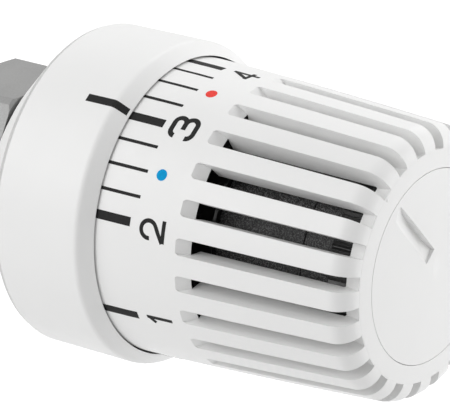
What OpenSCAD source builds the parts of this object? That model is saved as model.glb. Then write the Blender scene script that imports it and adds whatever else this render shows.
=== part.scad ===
// Thermostatic radiator valve head with a liquid sensor.
// The head's axis is world +X: the coupling nut's open mouth is at x = 0 and the cap faces +X.
// World +Z is up, and angles about the axis run from +Z towards -Y.
// Each piece is drawn along its own local +Z, which axial() turns onto world +X.

/* [Coupling nut] */
// Nominal diameter of the nut's thread
thread_d = 30; // [26:0.1:34]
// Wall of the nut between its thread and its flats, which are 32 mm across
nut_wall = 1; // [0.9:0.05:2]
// Amount by which the nut's six corners are rounded off
nut_corner_cut = 0.42; // [0.1:0.02:0.6]
// Free length of thread ahead of the head's seat
thread_len = 8.3; // [5:0.1:10]
// Radial depth of the relief behind the thread
thread_relief = 0.3; // [0.2:0.05:0.45]
// Thickness of the web that pulls on the snap ring
nut_web = 3.1; // [2:0.1:5]
// Bevel along the nut's edges
nut_bevel = 0.5; // [0.2:0.1:1]
// Angle at which the nut stands about the axis
nut_turn = 31.5; // [0:0.5:59.5]

/* [Neck] */
// Radial distance from the thread in to the neck
neck_inset = 3; // [2.7:0.05:3.6]
// Wall of the neck, whose bore takes the valve's gland
neck_wall = 2.2; // [2:0.05:4.4]
// Depth of the neck's bore
neck_bore_len = 11.3; // [10.6:0.1:12]
// Land of the neck ahead of the snap ring
neck_land = 1.2; // [0.8:0.1:2.5]
// Thickness of the snap ring
snap_ring_t = 1.3; // [0.8:0.1:2]
// Radial depth of the snap ring's groove
snap_groove = 0.8; // [0.5:0.05:1]
// Height that the snap ring stands proud of the neck
snap_proud = 2.2; // [1:0.1:2.5]
// Opening in the snap ring
snap_ring_gap = 5; // [2:0.5:8]

/* [Base and scale collar] */
// Diameter of the collar at its front, which every piece inside it follows
collar_d = 58.1; // [52:0.1:64]
// Wall of the collar over the handwheel's skirt
collar_wall = 2; // [1.6:0.05:3]
// Amount by which the collar's diameter shrinks towards its rear
collar_taper = 0.5; // [0:0.1:0.8]
// Length of the collar
collar_len = 19.7; // [17:0.1:26]
// Length of the bevel that runs down to the collar's lip
lip_bevel = 2.35; // [1.5:0.05:3]
// Running gap between the collar's lip and the handwheel
lip_gap = 0.35; // [0.25:0.05:0.5]
// Radial clearance behind the collar's lip
collar_clearance = 0.65; // [0.5:0.05:0.8]
// Length of the conical shoulder behind the collar
shoulder_len = 10.8; // [9:0.1:14]
// Rim by which the base's flat rear boss is wider than the nut's flats
boss_rim = 0.85; // [0:0.05:2]
// Wall of the base housing
base_wall = 2.2; // [1.6:0.1:3]
// Thickness of the floor that closes the neck
floor_t = 3.2; // [2.6:0.1:3.6]
// Thickness of the base behind the pocket round the neck
boss_floor_t = 3.3; // [2.4:0.1:4]
// Wall between that pocket and the shoulder's cone
pocket_wall = 2.8; // [2:0.1:3.5]
// Length of the spigot inside the collar
spigot_len = 5; // [3:0.1:6]

/* [Handwheel] */
// Amount by which the handwheel's radius shrinks from the lip to its front corner
wheel_taper = 1.9; // [1.2:0.05:2.6]
// How late the handwheel's taper sets in
wheel_crown = 1.4; // [1:0.05:2]
// Length of the plain skirt inside the collar
skirt_len = 9; // [7:0.1:10]
// Length of the scale zone ahead of the lip
scale_len = 16.6; // [14:0.1:22]
// Length of the slots between the ribs
slot_len = 31.8; // [26:0.1:40]
// Length over which the slots' rear end slopes inwards
slot_end_len = 2.2; // [1.6:0.1:2.6]
// Number of ribs
rib_count = 24; // [16:1:28]
// Share of the circle that the slots take
slot_share = 0.44; // [0.38:0.01:0.5]
// Fillet in the slots' rear corners
slot_fillet = 1; // [0.4:0.05:1.1]
// Angle of the slot that lines up with the index
slot_phase = 36.8; // [30:0.1:44]
// Wall of the skirt and scale zone
wheel_wall = 2.4; // [2:0.1:2.5]
// Depth of the ribs at the handwheel's front corner
rib_depth = 4.05; // [3.5:0.05:4.1]
// Amount by which the ribs' inner edges lie farther out at their rear
rib_draft = 0.7; // [0.2:0.05:1]
// Rounding of the ribs' front corners
rib_corner = 4; // [2.5:0.1:4.4]
// Step from the ribs' inner edges in to the front ring's rear edge
ring_step = 0.45; // [0.15:0.05:1.2]
// Amount by which the front ring's radius grows towards its front edge
ring_flare = 0.7; // [0.4:0.05:1]
// Length of the front ring
ring_len = 3.4; // [3:0.1:4.5]
// Thickness of the wall behind the end cap
front_wall = 1.6; // [1.2:0.1:2]
// Step from the ribs' inner edges in to the bore that runs on the guide tube's thread
hub_step = 0.15; // [0.05:0.05:0.2]
// Wall of the hub round that bore
hub_wall = 1.5; // [1.2:0.1:2]
// Length of the hub
hub_len = 15; // [12:0.1:16]
// Distance from the slots' rear end back to the hub
hub_setback = 4.5; // [4:0.1:6]

/* [End cap] */
// Width of the front ring's sloping face round the cap
ring_face_w = 3.45; // [2.5:0.05:4.7]
// Rise of the cap's dome
cap_dome = 0.7; // [0.2:0.1:1.5]
// Length of the pry notch
notch_len = 13.8; // [10:0.1:15]
// Width of the pry notch
notch_w = 2.8; // [2:0.1:4]
// Greatest depth of the pry notch
notch_depth = 1.2; // [0.6:0.1:1.3]
// Distance from the cap's edge in to the notch's outer end
notch_margin = 1.25; // [1:0.05:3]
// Angle of the notch about the axis
notch_angle = 42; // [0:1:90]
// Sideways offset of the notch's middle line
notch_offset = 0.9; // [-2:0.1:2]
// Diameter of the cap's snap boss
cap_boss_d = 11.4; // [8:0.2:12]

/* [Guide tube] */
// Clearance of the guide tube's thread in the hub
thread_clearance = 0.15; // [0.1:0.05:0.3]
// Height of the guide tube's thread
lead_thread_h = 0.95; // [0.75:0.05:1.2]
// Wall of the guide tube
tube_wall = 1.35; // [1.2:0.05:1.5]
// Distance that the tube reaches past the slots' rear end
tube_peek = 2.9; // [1:0.1:5]
// Rounding of the tube's front edge
tube_round = 0.6; // [0.3:0.05:0.65]
// Thickness of the foot flange
tube_flange_t = 2; // [1.2:0.1:2.5]
// Number of the key slots and of the sleeve's keys
key_count = 3; // [2:1:4]
// Width of the key slots
key_slot_w = 4; // [3:0.1:5]
// Width of the stop lugs, in degrees
stop_lug_angle = 14; // [8:1:20]

/* [Sensor sleeve] */
// Clearance of the sensor sleeve in the guide tube
sleeve_clearance = 0.25; // [0.2:0.05:0.35]
// Wall of the sensor sleeve
sleeve_wall = 1.3; // [1:0.05:1.5]
// Length of the splined ring
spline_len = 5.4; // [4:0.1:8]
// Distance from the sleeve's joint to the splined ring
sleeve_front_len = 5.7; // [4:0.1:10]
// Thickness of the ledges inside the sleeve
ledge_t = 2; // [1.2:0.1:3]
// Distance from the tube's flange to the sleeve's rear end at rest
sleeve_lift = 7.5; // [7.2:0.1:9]
// Height of the sleeve's guide keys
key_h = 1.3; // [0.8:0.1:1.5]
// Length of the guide keys
key_len = 8; // [5:0.5:10]

/* [Sensor] */
// Radial clearance round the sensor capsule
capsule_clearance = 0.6; // [0.4:0.05:1]
// Wall of the sensor capsule
capsule_wall = 0.7; // [0.4:0.05:1.2]
// Rounding of the sensor capsule's front edge
capsule_round = 0.6; // [0.2:0.1:0.8]
// Length of the overtravel spring
safety_spring_len = 10; // [8:0.1:12]
// Mean diameter of the overtravel spring
safety_spring_d = 21; // [16:0.5:24]
// Wire of the overtravel spring
safety_wire = 2; // [1.4:0.1:2.2]
// Turns of the overtravel spring
safety_turns = 4; // [3:1:4]
// Clearance round the bellows in the capsule
bellows_clearance = 1.5; // [1:0.1:2.5]
// Depth of the bellows' folds
fold_depth = 3.2; // [2.8:0.1:3.5]
// Length of the bellows
bellows_len = 25; // [20:0.5:28]
// Number of the bellows' folds
fold_count = 9; // [5:1:12]
// Diameter of the push pin
pin_d = 6; // [4:0.1:6.4]
// Distance from the seat to the push pin's tip
pin_depth = 12.5; // [11.8:0.1:13]
// Wire of the return spring, which runs midway between the pin and the cup
return_wire = 1.2; // [0.8:0.1:1.6]
// Turns of the return spring
return_turns = 7; // [5:1:10]

/* [Hidden] */

$fn = 96;
detail_fn = 48;

// Clearances
run_gap = 0.2;
side_gap = 0.3;
snug = 0.05;
bore_over = 0.1;
cut_over = 1;

// Small fixed features of the nut, the base and the collar
nut_face_inset = 0.12;
nut_face_angle = 30;
shoulder_step = 0.4;
shoulder_bulge = 0.7;
seam_w = 0.8;
seam_depth = 1;
lip_land = 0.5;
edge_round = 0.4;
collar_rear_round = 0.2;
collar_bend = 0.6;
bend_steps = 4;

// Share of the shoulder that its steep rear part takes
boss_share = 0.3;

// Small fixed features of the handwheel's front
ring_slope = 0.3;
cap_gap = 0.1;
cap_rim = 1.2;

// Stations along the axis, from the nut's mouth to the cap
x_seat = thread_len + run_gap;
x_groove = x_seat + neck_land;
x_web = x_groove + snap_ring_t + 2 * snug + run_gap;
x_nut_front = x_web + nut_web;
x_boss = x_nut_front + side_gap + run_gap;
x_collar = x_boss + shoulder_len;
x_lip = x_collar + collar_len;
x_slot = x_lip + scale_len;
x_ring = x_slot + slot_len;
x_front = x_ring + ring_len;
x_neck_floor = x_seat + neck_bore_len;
x_floor = x_neck_floor + floor_t;
x_flange = x_floor + tube_flange_t;
x_skirt = x_lip - skirt_len;
x_slot_end = x_slot + slot_end_len;
x_hub_front = x_slot - hub_setback;
x_hub_rear = x_hub_front - hub_len;
x_face = x_front - ring_slope;
x_corner = x_face - rib_corner;
x_cap_seat = x_ring + front_wall;

// Radii
thread_r = thread_d / 2;
neck_r = thread_r - neck_inset;
neck_bore_r = neck_r - neck_wall;
nut_r = thread_r + nut_wall;
nut_corner_r = nut_r / cos(30) - nut_corner_cut;
nut_face_r = nut_r - nut_face_inset;
groove_r = neck_r - snap_groove;
snap_r = neck_r + snap_proud;
collar_r = collar_d / 2;
collar_bore_r = collar_r - collar_wall;
wheel_r = collar_bore_r - collar_clearance;
wheel_front_r = wheel_r - wheel_taper;
lip_r = wheel_r + lip_gap;
boss_r = nut_r + boss_rim;
shoulder_r = collar_r - collar_taper / 2 - shoulder_step;
spigot_bore_r = collar_bore_r - snug - base_wall;
shell_r = wheel_r - wheel_wall;
rib_inner_r = wheel_front_r - rib_depth;
rib_rear_r = rib_inner_r + rib_draft;
ring_rear_r = rib_inner_r - ring_step;
ring_front_r = ring_rear_r + ring_flare;
cap_r = ring_front_r - ring_face_w;
hub_bore_r = rib_inner_r - hub_step;
tube_thread_r = hub_bore_r - thread_clearance;
tube_r = tube_thread_r - lead_thread_h;
tube_bore_r = tube_r - tube_wall;
sleeve_r = tube_bore_r - sleeve_clearance;
sleeve_bore_r = sleeve_r - sleeve_wall;
capsule_r = sleeve_bore_r - capsule_clearance;
bellows_r = capsule_r - capsule_wall - bellows_clearance;
bellows_bore_r = bellows_r - fold_depth;
pin_r = pin_d / 2;

// Shoulder cone outside and inside
cone_r = boss_r + (shoulder_r - boss_r) * boss_share + shoulder_bulge;
x_cone = x_boss + shoulder_len * boss_share;
cone_slope = (shoulder_r - cone_r) / (x_collar - seam_w - x_cone);
cone_wall = base_wall * sqrt(1 + cone_slope * cone_slope);
floor_r = cone_r + cone_slope * (x_floor - x_cone) - cone_wall;
x_full_bore = x_cone + (spigot_bore_r + cone_wall - cone_r) / cone_slope;
tube_flange_r = floor_r - snug;
x_pocket = x_boss + boss_floor_t;
pocket_r = cone_r - pocket_wall;

// Handwheel
slot_half = slot_share * 180 / rib_count;
slot_overlap = 0.15;
slot_round = min(slot_fillet, rib_inner_r * sin(slot_half) - slot_overlap);
flange_t = wheel_wall;
slot_end_land = 0.1;
x_rib = x_slot_end - slot_end_land / 2;
crown_steps = 10;
wheel_lug_h = 1.9;
wheel_lug_len = 5.6;
travel_in = 2.7;
travel_out = 1.4;
stop_overlap = 1.4;
stop_outer_r = shell_r - side_gap - run_gap;
x_stop_end = x_skirt + travel_out + stop_overlap;

// Turning limits, as angles of the dial from its rest
turn_open = 80;
turn_close = -160;
stop_slack = 1;
wheel_lug_at = 180;
stop_open_at = wheel_lug_at + turn_open + stop_lug_angle + stop_slack;
stop_close_at = wheel_lug_at + turn_close - stop_lug_angle - stop_slack;

// Sensor sleeve and what it holds
x_sleeve = x_flange + sleeve_lift;
x_spline = x_ring - spline_len;
x_sleeve_front = x_spline - bore_over;
x_joint = x_spline - sleeve_front_len;
joint_gap = 0.25;
tongue_len = 3;
tongue_t = sleeve_wall / 2;
x_ledge = x_sleeve + ledge_t;
washer_t = 0.8;
washer_w = 3.4;
seat_t = 1.2;
seat_bore_r = 4.5;
front_ledge_t = 1;
front_ledge_r = sleeve_bore_r - 4;
x_seat_plate = x_sleeve_front - front_ledge_t - seat_t;
lid_t = 2;
x_lid = x_ledge + lid_t;
x_capsule_front = x_seat_plate - safety_spring_len;
x_bellows_end = x_lid + bellows_len;
bellows_t = 0.4;
fold_flat = 0.3;
plug_r = 1.5;
plug_len = 3.5;
rear_hole_r = 10.5;

// Push pin, its bush and its cup
x_tip = x_seat + pin_depth;
bush_r = 5.9;
bush_flange_r = 8;
bush_flange_t = 1.5;
bush_front_len = 7;
bush_land_start = 2;
stem_clear = 1.5;
cup_t = 0.8;
cup_clearance = 0.7;
cup_lift = 4;
cup_r = bellows_bore_r - cup_clearance;
x_cup_end = x_bellows_end - bellows_t;
x_cup_mouth = x_lid + cup_lift;
return_spring_r = (pin_r + cup_r - cup_t) / 2;
tip_round = 0.5;

// Wire springs
coil_gap = 0.04;
wire_sides = 8;
steps_per_turn = 20;

module axial() {
  rotate([0, 90, 0])
    rotate([0, 0, 180])
      children();
}

module ring(outer_r, inner_r, from, to) {
  difference() {
    translate([0, 0, from])
      cylinder(r = outer_r, h = to - from);
    translate([0, 0, from - cut_over])
      cylinder(r = inner_r, h = to - from + 2 * cut_over);
  }
}

// Everything between two flat radial sides, out past radius r
module wedge(r, from, to, middle, width) {
  rotate([0, 0, middle])
    translate([0, 0, from])
      linear_extrude(to - from)
        polygon([
          [0, 0],
          [2 * r, -2 * r * tan(width / 2)],
          [2 * r, 2 * r * tan(width / 2)]
        ]);
}

// The corner that a rounding of radius r takes off, with its point at the origin
module corner_waste(r) {
  difference() {
    translate([-r, -r])
      square([r + cut_over, r + cut_over]);
    translate([-r, -r])
      circle(r = r, $fn = detail_fn);
    translate([-2 * r, -2 * r])
      square([r, 2 * r + r]);
    translate([-2 * r, -2 * r])
      square([2 * r + r, r]);
  }
}

// ---- Coupling nut and neck ----

module coupling_nut() {
  color([0.62, 0.62, 0.61])
    axial()
      difference() {
        intersection() {
          linear_extrude(x_nut_front)
            rotate(nut_turn)
              circle(r = nut_r / cos(30), $fn = 6);
          rotate_extrude()
            polygon([
              [0, 0],
              [nut_face_r, 0],
              [nut_corner_r, (nut_corner_r - nut_face_r) * tan(nut_face_angle)],
              [nut_corner_r, x_nut_front - nut_bevel],
              [nut_corner_r - nut_bevel, x_nut_front],
              [0, x_nut_front]
            ]);
        }
        translate([0, 0, -cut_over])
          cylinder(r = thread_r, h = x_web + cut_over);
        translate([0, 0, thread_len])
          cylinder(r = thread_r + thread_relief, h = x_web - thread_len);
        cylinder(r = neck_r + side_gap, h = x_nut_front + cut_over);
      }
}

module nut_snap_ring() {
  color([0.7, 0.7, 0.72])
    axial()
      difference() {
        ring(snap_r, groove_r + snug, x_groove + snug, x_groove + snap_ring_t + snug);
        translate([0, -snap_ring_gap / 2, 0])
          cube([2 * snap_r, snap_ring_gap, x_web]);
      }
}

module base_housing() {
  color([0.93, 0.93, 0.92])
    axial()
      rotate_extrude()
        difference() {
          polygon([
            [neck_bore_r, x_seat],
            [neck_r, x_seat],
            [neck_r, x_groove],
            [groove_r, x_groove],
            [groove_r, x_groove + snap_ring_t + 2 * snug],
            [neck_r, x_groove + snap_ring_t + 2 * snug],
            [neck_r, x_boss],
            [boss_r, x_boss],
            [cone_r, x_cone],
            [shoulder_r, x_collar - seam_w],
            [shoulder_r - seam_depth, x_collar],
            [collar_bore_r - snug, x_collar],
            [collar_bore_r - snug, x_collar + spigot_len],
            [spigot_bore_r, x_collar + spigot_len],
            [spigot_bore_r, x_full_bore],
            [floor_r, x_floor],
            [pocket_r, x_floor],
            [pocket_r, x_pocket],
            [neck_r + side_gap, x_pocket],
            [neck_r + side_gap, x_floor],
            [bush_r + snug, x_floor],
            [bush_r + snug, x_neck_floor],
            [neck_bore_r, x_neck_floor]
          ]);
          translate([neck_r, x_seat])
            rotate(270)
              corner_waste(edge_round);
        }
}

// Points of a curve that rounds the corner between a, corner and b over a reach on either side
function bend(a, corner, b, reach) =
  let (
    from = corner + reach * (a - corner) / norm(a - corner),
    to = corner + reach * (b - corner) / norm(b - corner)
  )
  [
    for (i = [0:bend_steps])
      let (u = i / bend_steps)
        (1 - u) * (1 - u) * from + 2 * u * (1 - u) * corner + u * u * to
  ];

module scale_collar() {
  rear_r = collar_r - collar_taper / 2;
  corner = [collar_r, x_lip - lip_bevel];
  lip = [lip_r + snug, x_lip];
  color([0.93, 0.93, 0.92])
    axial()
      rotate_extrude()
        difference() {
          polygon(concat(
            [[collar_bore_r, x_collar], [rear_r, x_collar]],
            bend([rear_r, x_collar], corner, lip, collar_bend),
            [
              lip,
              [lip_r, x_lip],
              [lip_r, x_lip - lip_land],
              [collar_bore_r, x_lip - lip_land - (collar_bore_r - lip_r)]
            ]
          ));
          translate([rear_r, x_collar])
            rotate(270)
              corner_waste(collar_rear_round);
        }
}

// ---- Guide tube, stops and bush ----

module guide_tube() {
  x_end = x_slot + tube_peek;
  x_land_from = x_hub_rear - travel_in;
  x_land_to = x_hub_front - travel_in;
  color([0.06, 0.06, 0.06])
    axial()
      difference() {
        rotate_extrude()
          difference() {
            polygon([
              [tube_bore_r, x_floor],
              [tube_flange_r, x_floor],
              [tube_flange_r, x_flange],
              [tube_r, x_flange],
              [tube_r, x_land_from],
              [tube_thread_r, x_land_from + tube_thread_r - tube_r],
              [tube_thread_r, x_land_to - tube_thread_r + tube_r],
              [tube_r, x_land_to],
              [tube_r, x_end],
              [tube_bore_r, x_end]
            ]);
            translate([tube_r, x_end])
              corner_waste(tube_round);
          }
        for (k = [0:key_count - 1])
          rotate([0, 0, 360 * k / key_count])
            translate([0, -key_slot_w / 2, x_sleeve - travel_in - cut_over])
              cube([tube_flange_r, key_slot_w, key_len + travel_in + travel_out + 2 * cut_over + ledge_t]);
      }
}

module stop_ring() {
  x_foot = x_flange + tube_flange_t;
  x_step = max(x_foot, x_full_bore) + snug;
  color([0.08, 0.08, 0.08])
    axial()
      difference() {
        rotate_extrude()
          polygon([
            [tube_r + snug, x_flange],
            [tube_flange_r, x_flange],
            [tube_flange_r, x_step],
            [stop_outer_r, x_step],
            [stop_outer_r, x_stop_end],
            [tube_r + snug, x_stop_end]
          ]);
        difference() {
          ring(stop_outer_r + cut_over, tube_r - cut_over, x_foot, x_stop_end + cut_over);
          for (middle = [stop_open_at, stop_close_at])
            wedge(stop_outer_r, x_foot - cut_over, x_stop_end + 2 * cut_over, middle, stop_lug_angle);
        }
      }
}

module pin_bush() {
  x_land = x_floor + bush_land_start;
  x_end = x_floor + bush_front_len;
  color([0.75, 0.6, 0.3])
    axial()
      rotate_extrude()
        polygon([
          [pin_r + stem_clear, x_neck_floor],
          [bush_r, x_neck_floor],
          [bush_r, x_floor],
          [bush_flange_r, x_floor],
          [bush_flange_r, x_floor + bush_flange_t],
          [bush_r, x_floor + bush_flange_t],
          [bush_r, x_end],
          [pin_r + snug, x_end],
          [pin_r + snug, x_land],
          [pin_r + stem_clear, x_land]
        ]);
}

// ---- Handwheel ----

// Outside radius of the handwheel at a distance from the lip
function crown_r(d) =
  d <= 0 ? wheel_r
         : wheel_r - (wheel_r - wheel_front_r) * pow(d / (x_corner - x_lip), wheel_crown);

// Half section of the handwheel, before the slots are cut
module wheel_profile() {
  crown = [
    for (i = [0:crown_steps])
      let (d = (x_corner - x_lip) * i / crown_steps)
        [crown_r(d), x_lip + d]
  ];
  difference() {
    polygon(concat(
      [[shell_r, x_skirt], [wheel_r, x_skirt]],
      crown,
      [
        [wheel_front_r, x_face],
        [ring_front_r, x_face],
        [cap_r + cap_gap, x_front],
        [cap_r + cap_gap, x_cap_seat],
        [cap_boss_d / 2 + side_gap, x_cap_seat],
        [cap_boss_d / 2 + side_gap, x_ring],
        [rib_inner_r, x_ring],
        [rib_rear_r, x_rib],
        [shell_r, x_rib],
        [shell_r, x_hub_front],
        [hub_bore_r, x_hub_front],
        [hub_bore_r, x_hub_rear],
        [hub_bore_r + hub_wall, x_hub_rear],
        [hub_bore_r + hub_wall, x_hub_front - flange_t],
        [shell_r, x_hub_front - flange_t]
      ]
    ));
    translate([wheel_front_r, x_face])
      corner_waste(rib_corner);
  }
}

// Where the slots may cut: in front of their sloping rear end and outside the front ring
module slot_zone() {
  far = wheel_r + cut_over;
  end_r = shell_r + slot_end_land;
  start_r = crown_r(scale_len) + slot_end_land;
  slope = slot_end_len / (start_r - end_r);
  rotate_extrude()
    polygon([
      [rib_inner_r - cut_over, x_slot_end - cut_over],
      [end_r - cut_over, x_slot_end - cut_over],
      [end_r, x_slot_end],
      [start_r, x_slot],
      [far, x_slot - (far - start_r) * slope],
      [far, x_front + cut_over],
      [ring_front_r, x_front + cut_over],
      [ring_front_r, x_face],
      [ring_rear_r, x_ring],
      [rib_inner_r - cut_over, x_ring]
    ]);
}

// One side of a slot: a flat radial wall with a filleted rear corner, open at the front.
// It starts at z = 0, so that turning it can't shift its rear plane off the slot's middle.
module slot_side() {
  near = ring_rear_r - 2 * cut_over;
  far = wheel_r + cut_over;
  width = slot_round + 2 * slot_overlap;
  rotate([0, 0, slot_half])
    translate([near, 0, 0])
      rotate([90, 0, 90])
        linear_extrude(far - near)
          difference() {
            translate([-width, 0])
              square([width, x_front - x_slot + cut_over]);
            rotate(270)
              corner_waste(slot_round);
          }
}

// One slot between two ribs: its two sides, and the middle where these don't meet
module rib_slot() {
  far = wheel_r + cut_over;
  inset = slot_round + slot_overlap;
  far_x = far * cos(slot_half) + inset * sin(slot_half);
  far_y = far * sin(slot_half) - inset * cos(slot_half);
  translate([0, 0, x_slot]) {
    linear_extrude(x_front - x_slot + cut_over)
      polygon([[inset / sin(slot_half), 0], [far_x, -far_y], [far_x, far_y]]);
    for (side = [0, 1])
      mirror([0, side, 0])
        slot_side();
  }
}

module handwheel() {
  color([0.94, 0.94, 0.93])
    axial() {
      difference() {
        rotate_extrude()
          wheel_profile();
        intersection() {
          slot_zone();
          for (k = [0:rib_count - 1])
            rotate([0, 0, slot_phase + 360 * k / rib_count])
              rib_slot();
        }
      }
      wheel_lug();
    }
}

module wheel_lug() {
  x_end = x_skirt + wheel_lug_len;
  intersection() {
    ring(shell_r + bore_over, shell_r - wheel_lug_h, x_skirt, x_end);
    wedge(wheel_r, x_skirt - cut_over, x_end + cut_over, wheel_lug_at, stop_lug_angle);
  }
}

module end_cap() {
  dome_r = (cap_r * cap_r + cap_dome * cap_dome) / (2 * cap_dome);
  color([0.94, 0.94, 0.93])
    axial()
      difference() {
        union() {
          intersection() {
            translate([0, 0, x_cap_seat])
              cylinder(r = cap_r, h = ring_len + cap_dome);
            translate([0, 0, x_front + cap_dome - dome_r])
              sphere(r = dome_r, $fn = 720);
          }
          ring(cap_boss_d / 2, cap_boss_d / 2 - cap_rim, x_ring - cap_rim, x_cap_seat + bore_over);
        }
        pry_notch();
      }
}

// Scoop whose one long side is an upright round-bottomed wall and whose floor climbs to the other
module pry_notch() {
  arc_r = (notch_len * notch_len / 4 + notch_depth * notch_depth) / (2 * notch_depth);
  rotate([0, 0, notch_angle])
    translate([cap_r - notch_margin - notch_len / 2, -notch_offset, x_front])
      hull() {
        translate([0, -notch_w / 2, 0])
          rotate([90, 0, 0])
            linear_extrude(bore_over)
              intersection() {
                translate([0, arc_r - notch_depth])
                  circle(r = arc_r, $fn = 240);
                translate([-notch_len / 2, -notch_depth])
                  square([notch_len, notch_depth + cap_dome + cut_over]);
              }
        translate([-notch_len / 2, notch_w / 2, cap_dome / 2])
          cube([notch_len, bore_over, cap_dome + cut_over]);
      }
}

module spline_ring() {
  recess_r = sleeve_bore_r + run_gap;
  color([0.08, 0.08, 0.08])
    axial()
      difference() {
        ring(sleeve_r, sleeve_bore_r - washer_w, x_spline, x_ring);
        translate([0, 0, x_spline - cut_over])
          cylinder(r = recess_r, h = washer_t + cut_over);
      }
}

// ---- Sensor sleeve ----

module sleeve_rear() {
  color([0.16, 0.16, 0.16])
    axial() {
      rotate_extrude()
        polygon([
          [rear_hole_r, x_sleeve],
          [sleeve_r, x_sleeve],
          [sleeve_r, x_joint - joint_gap],
          [sleeve_r - tongue_t, x_joint - joint_gap],
          [sleeve_r - tongue_t, x_joint + tongue_len],
          [sleeve_bore_r, x_joint + tongue_len],
          [sleeve_bore_r, x_ledge],
          [rear_hole_r, x_ledge]
        ]);
      for (k = [0:key_count - 1])
        rotate([0, 0, 360 * k / key_count])
          translate([sleeve_r - sleeve_wall / 2, -key_slot_w / 2 + run_gap, x_sleeve + ledge_t])
            cube([sleeve_wall / 2 + key_h, key_slot_w - 2 * run_gap, key_len]);
    }
}

module sleeve_front() {
  color([0.16, 0.16, 0.16])
    axial()
      rotate_extrude()
        polygon([
          [sleeve_r - tongue_t + snug, x_joint],
          [sleeve_r, x_joint],
          [sleeve_r, x_sleeve_front],
          [front_ledge_r, x_sleeve_front],
          [front_ledge_r, x_sleeve_front - front_ledge_t],
          [sleeve_bore_r, x_sleeve_front - front_ledge_t],
          [sleeve_bore_r, x_joint + tongue_len + snug],
          [sleeve_r - tongue_t + snug, x_joint + tongue_len + snug]
        ]);
}

module thrust_washer() {
  color([0.75, 0.75, 0.77])
    axial()
      ring(sleeve_bore_r, sleeve_bore_r - washer_w + run_gap, x_sleeve_front, x_sleeve_front + washer_t);
}

module spring_seat() {
  color([0.7, 0.7, 0.72])
    axial() {
      ring(sleeve_bore_r - snug, seat_bore_r, x_seat_plate, x_seat_plate + seat_t);
      ring(safety_spring_d / 2 - safety_wire / 2 - side_gap, seat_bore_r, x_seat_plate - safety_wire,
        x_seat_plate + seat_t / 2);
    }
}

// ---- Sensor ----

module sensor_capsule() {
  color([0.72, 0.45, 0.3])
    axial()
      rotate_extrude()
        difference() {
          polygon([
            [plug_r, x_capsule_front - capsule_wall],
            [capsule_r - capsule_wall, x_capsule_front - capsule_wall],
            [capsule_r - capsule_wall, x_lid],
            [capsule_r, x_lid],
            [capsule_r, x_capsule_front],
            [plug_r, x_capsule_front]
          ]);
          translate([capsule_r, x_capsule_front])
            corner_waste(capsule_round);
        }
}

module capsule_lid() {
  color([0.75, 0.6, 0.3])
    axial()
      ring(capsule_r, pin_r + side_gap + run_gap, x_ledge, x_lid);
}

module fill_plug() {
  color([0.72, 0.45, 0.3])
    axial() {
      translate([0, 0, x_capsule_front - capsule_wall])
        cylinder(r = plug_r - snug, h = plug_len);
      translate([0, 0, x_capsule_front - capsule_wall + plug_len])
        sphere(r = plug_r - snug, $fn = detail_fn);
    }
}

module bellows() {
  outer = bellows_r - bellows_t;
  inner = bellows_bore_r;
  fold = (bellows_len - bellows_t) / fold_count;
  steps = [[0, inner], [fold_flat, inner], [0.5, outer], [0.5 + fold_flat, outer]];
  wave = [
    for (k = [0:fold_count - 1], step = steps)
      [step[1], x_lid + fold * (k + step[0])]
  ];
  inside = concat(wave, [[inner, x_bellows_end - bellows_t]]);
  outside = [for (i = [len(inside) - 1:-1:0]) [inside[i][0] + bellows_t, inside[i][1]]];
  color([0.8, 0.65, 0.35])
    axial() {
      rotate_extrude()
        polygon(concat(inside, outside));
      translate([0, 0, x_bellows_end - bellows_t])
        cylinder(r = inner + bellows_t, h = bellows_t);
    }
}

module thrust_cup() {
  color([0.75, 0.75, 0.77])
    axial()
      rotate_extrude()
        polygon([
          [0, x_cup_end],
          [cup_r, x_cup_end],
          [cup_r, x_cup_mouth],
          [cup_r - cup_t, x_cup_mouth],
          [cup_r - cup_t, x_cup_end - cup_t],
          [0, x_cup_end - cup_t]
        ]);
}

module push_pin() {
  x_head = x_cup_end - cup_t;
  color([0.8, 0.7, 0.45])
    axial()
      rotate_extrude()
        difference() {
          polygon([[0, x_tip], [pin_r, x_tip], [pin_r, x_head], [0, x_head]]);
          translate([pin_r, x_tip])
            rotate(270)
              corner_waste(tip_round);
        }
}

// A wire spring with closed ends, swept along its coil
module wire_spring(mean_r, wire_d, from, to, turns) {
  wire_r = wire_d / 2;
  steps = turns * steps_per_turn;
  rise = to - from - wire_d;
  closed = wire_d + coil_gap;
  function height(t) =
    t < 1 ? closed * t
          : t > turns - 1 ? rise - closed * (turns - t)
                          : closed + (rise - 2 * closed) * (t - 1) / (turns - 2);
  points = [
    for (i = [0:steps], j = [0:wire_sides - 1])
      let (
        t = i / steps_per_turn,
        around = 360 * j / wire_sides,
        r = mean_r + wire_r * cos(around)
      )
        [r * cos(360 * t), r * sin(360 * t), from + wire_r + height(t) + wire_r * sin(around)]
  ];
  sides = [
    for (i = [0:steps - 1], j = [0:wire_sides - 1])
      let (a = i * wire_sides + j, b = i * wire_sides + (j + 1) % wire_sides)
        [a, b, b + wire_sides, a + wire_sides]
  ];
  first = [[for (j = [wire_sides - 1:-1:0]) j]];
  last = [[for (j = [0:wire_sides - 1]) steps * wire_sides + j]];
  polyhedron(points, concat(first, sides, last));
}

module overtravel_spring() {
  color([0.6, 0.6, 0.62])
    axial()
      wire_spring(safety_spring_d / 2, safety_wire, x_capsule_front, x_seat_plate, safety_turns);
}

module return_spring() {
  color([0.6, 0.6, 0.62])
    axial()
      wire_spring(return_spring_r, return_wire, x_lid, x_cup_end - cup_t, return_turns);
}

coupling_nut();
base_housing();
scale_collar();
guide_tube();
stop_ring();
nut_snap_ring();
pin_bush();
handwheel();
end_cap();
spline_ring();
sleeve_rear();
sleeve_front();
thrust_washer();
spring_seat();
sensor_capsule();
capsule_lid();
fill_plug();
overtravel_spring();
bellows();
thrust_cup();
return_spring();
push_pin();
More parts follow.
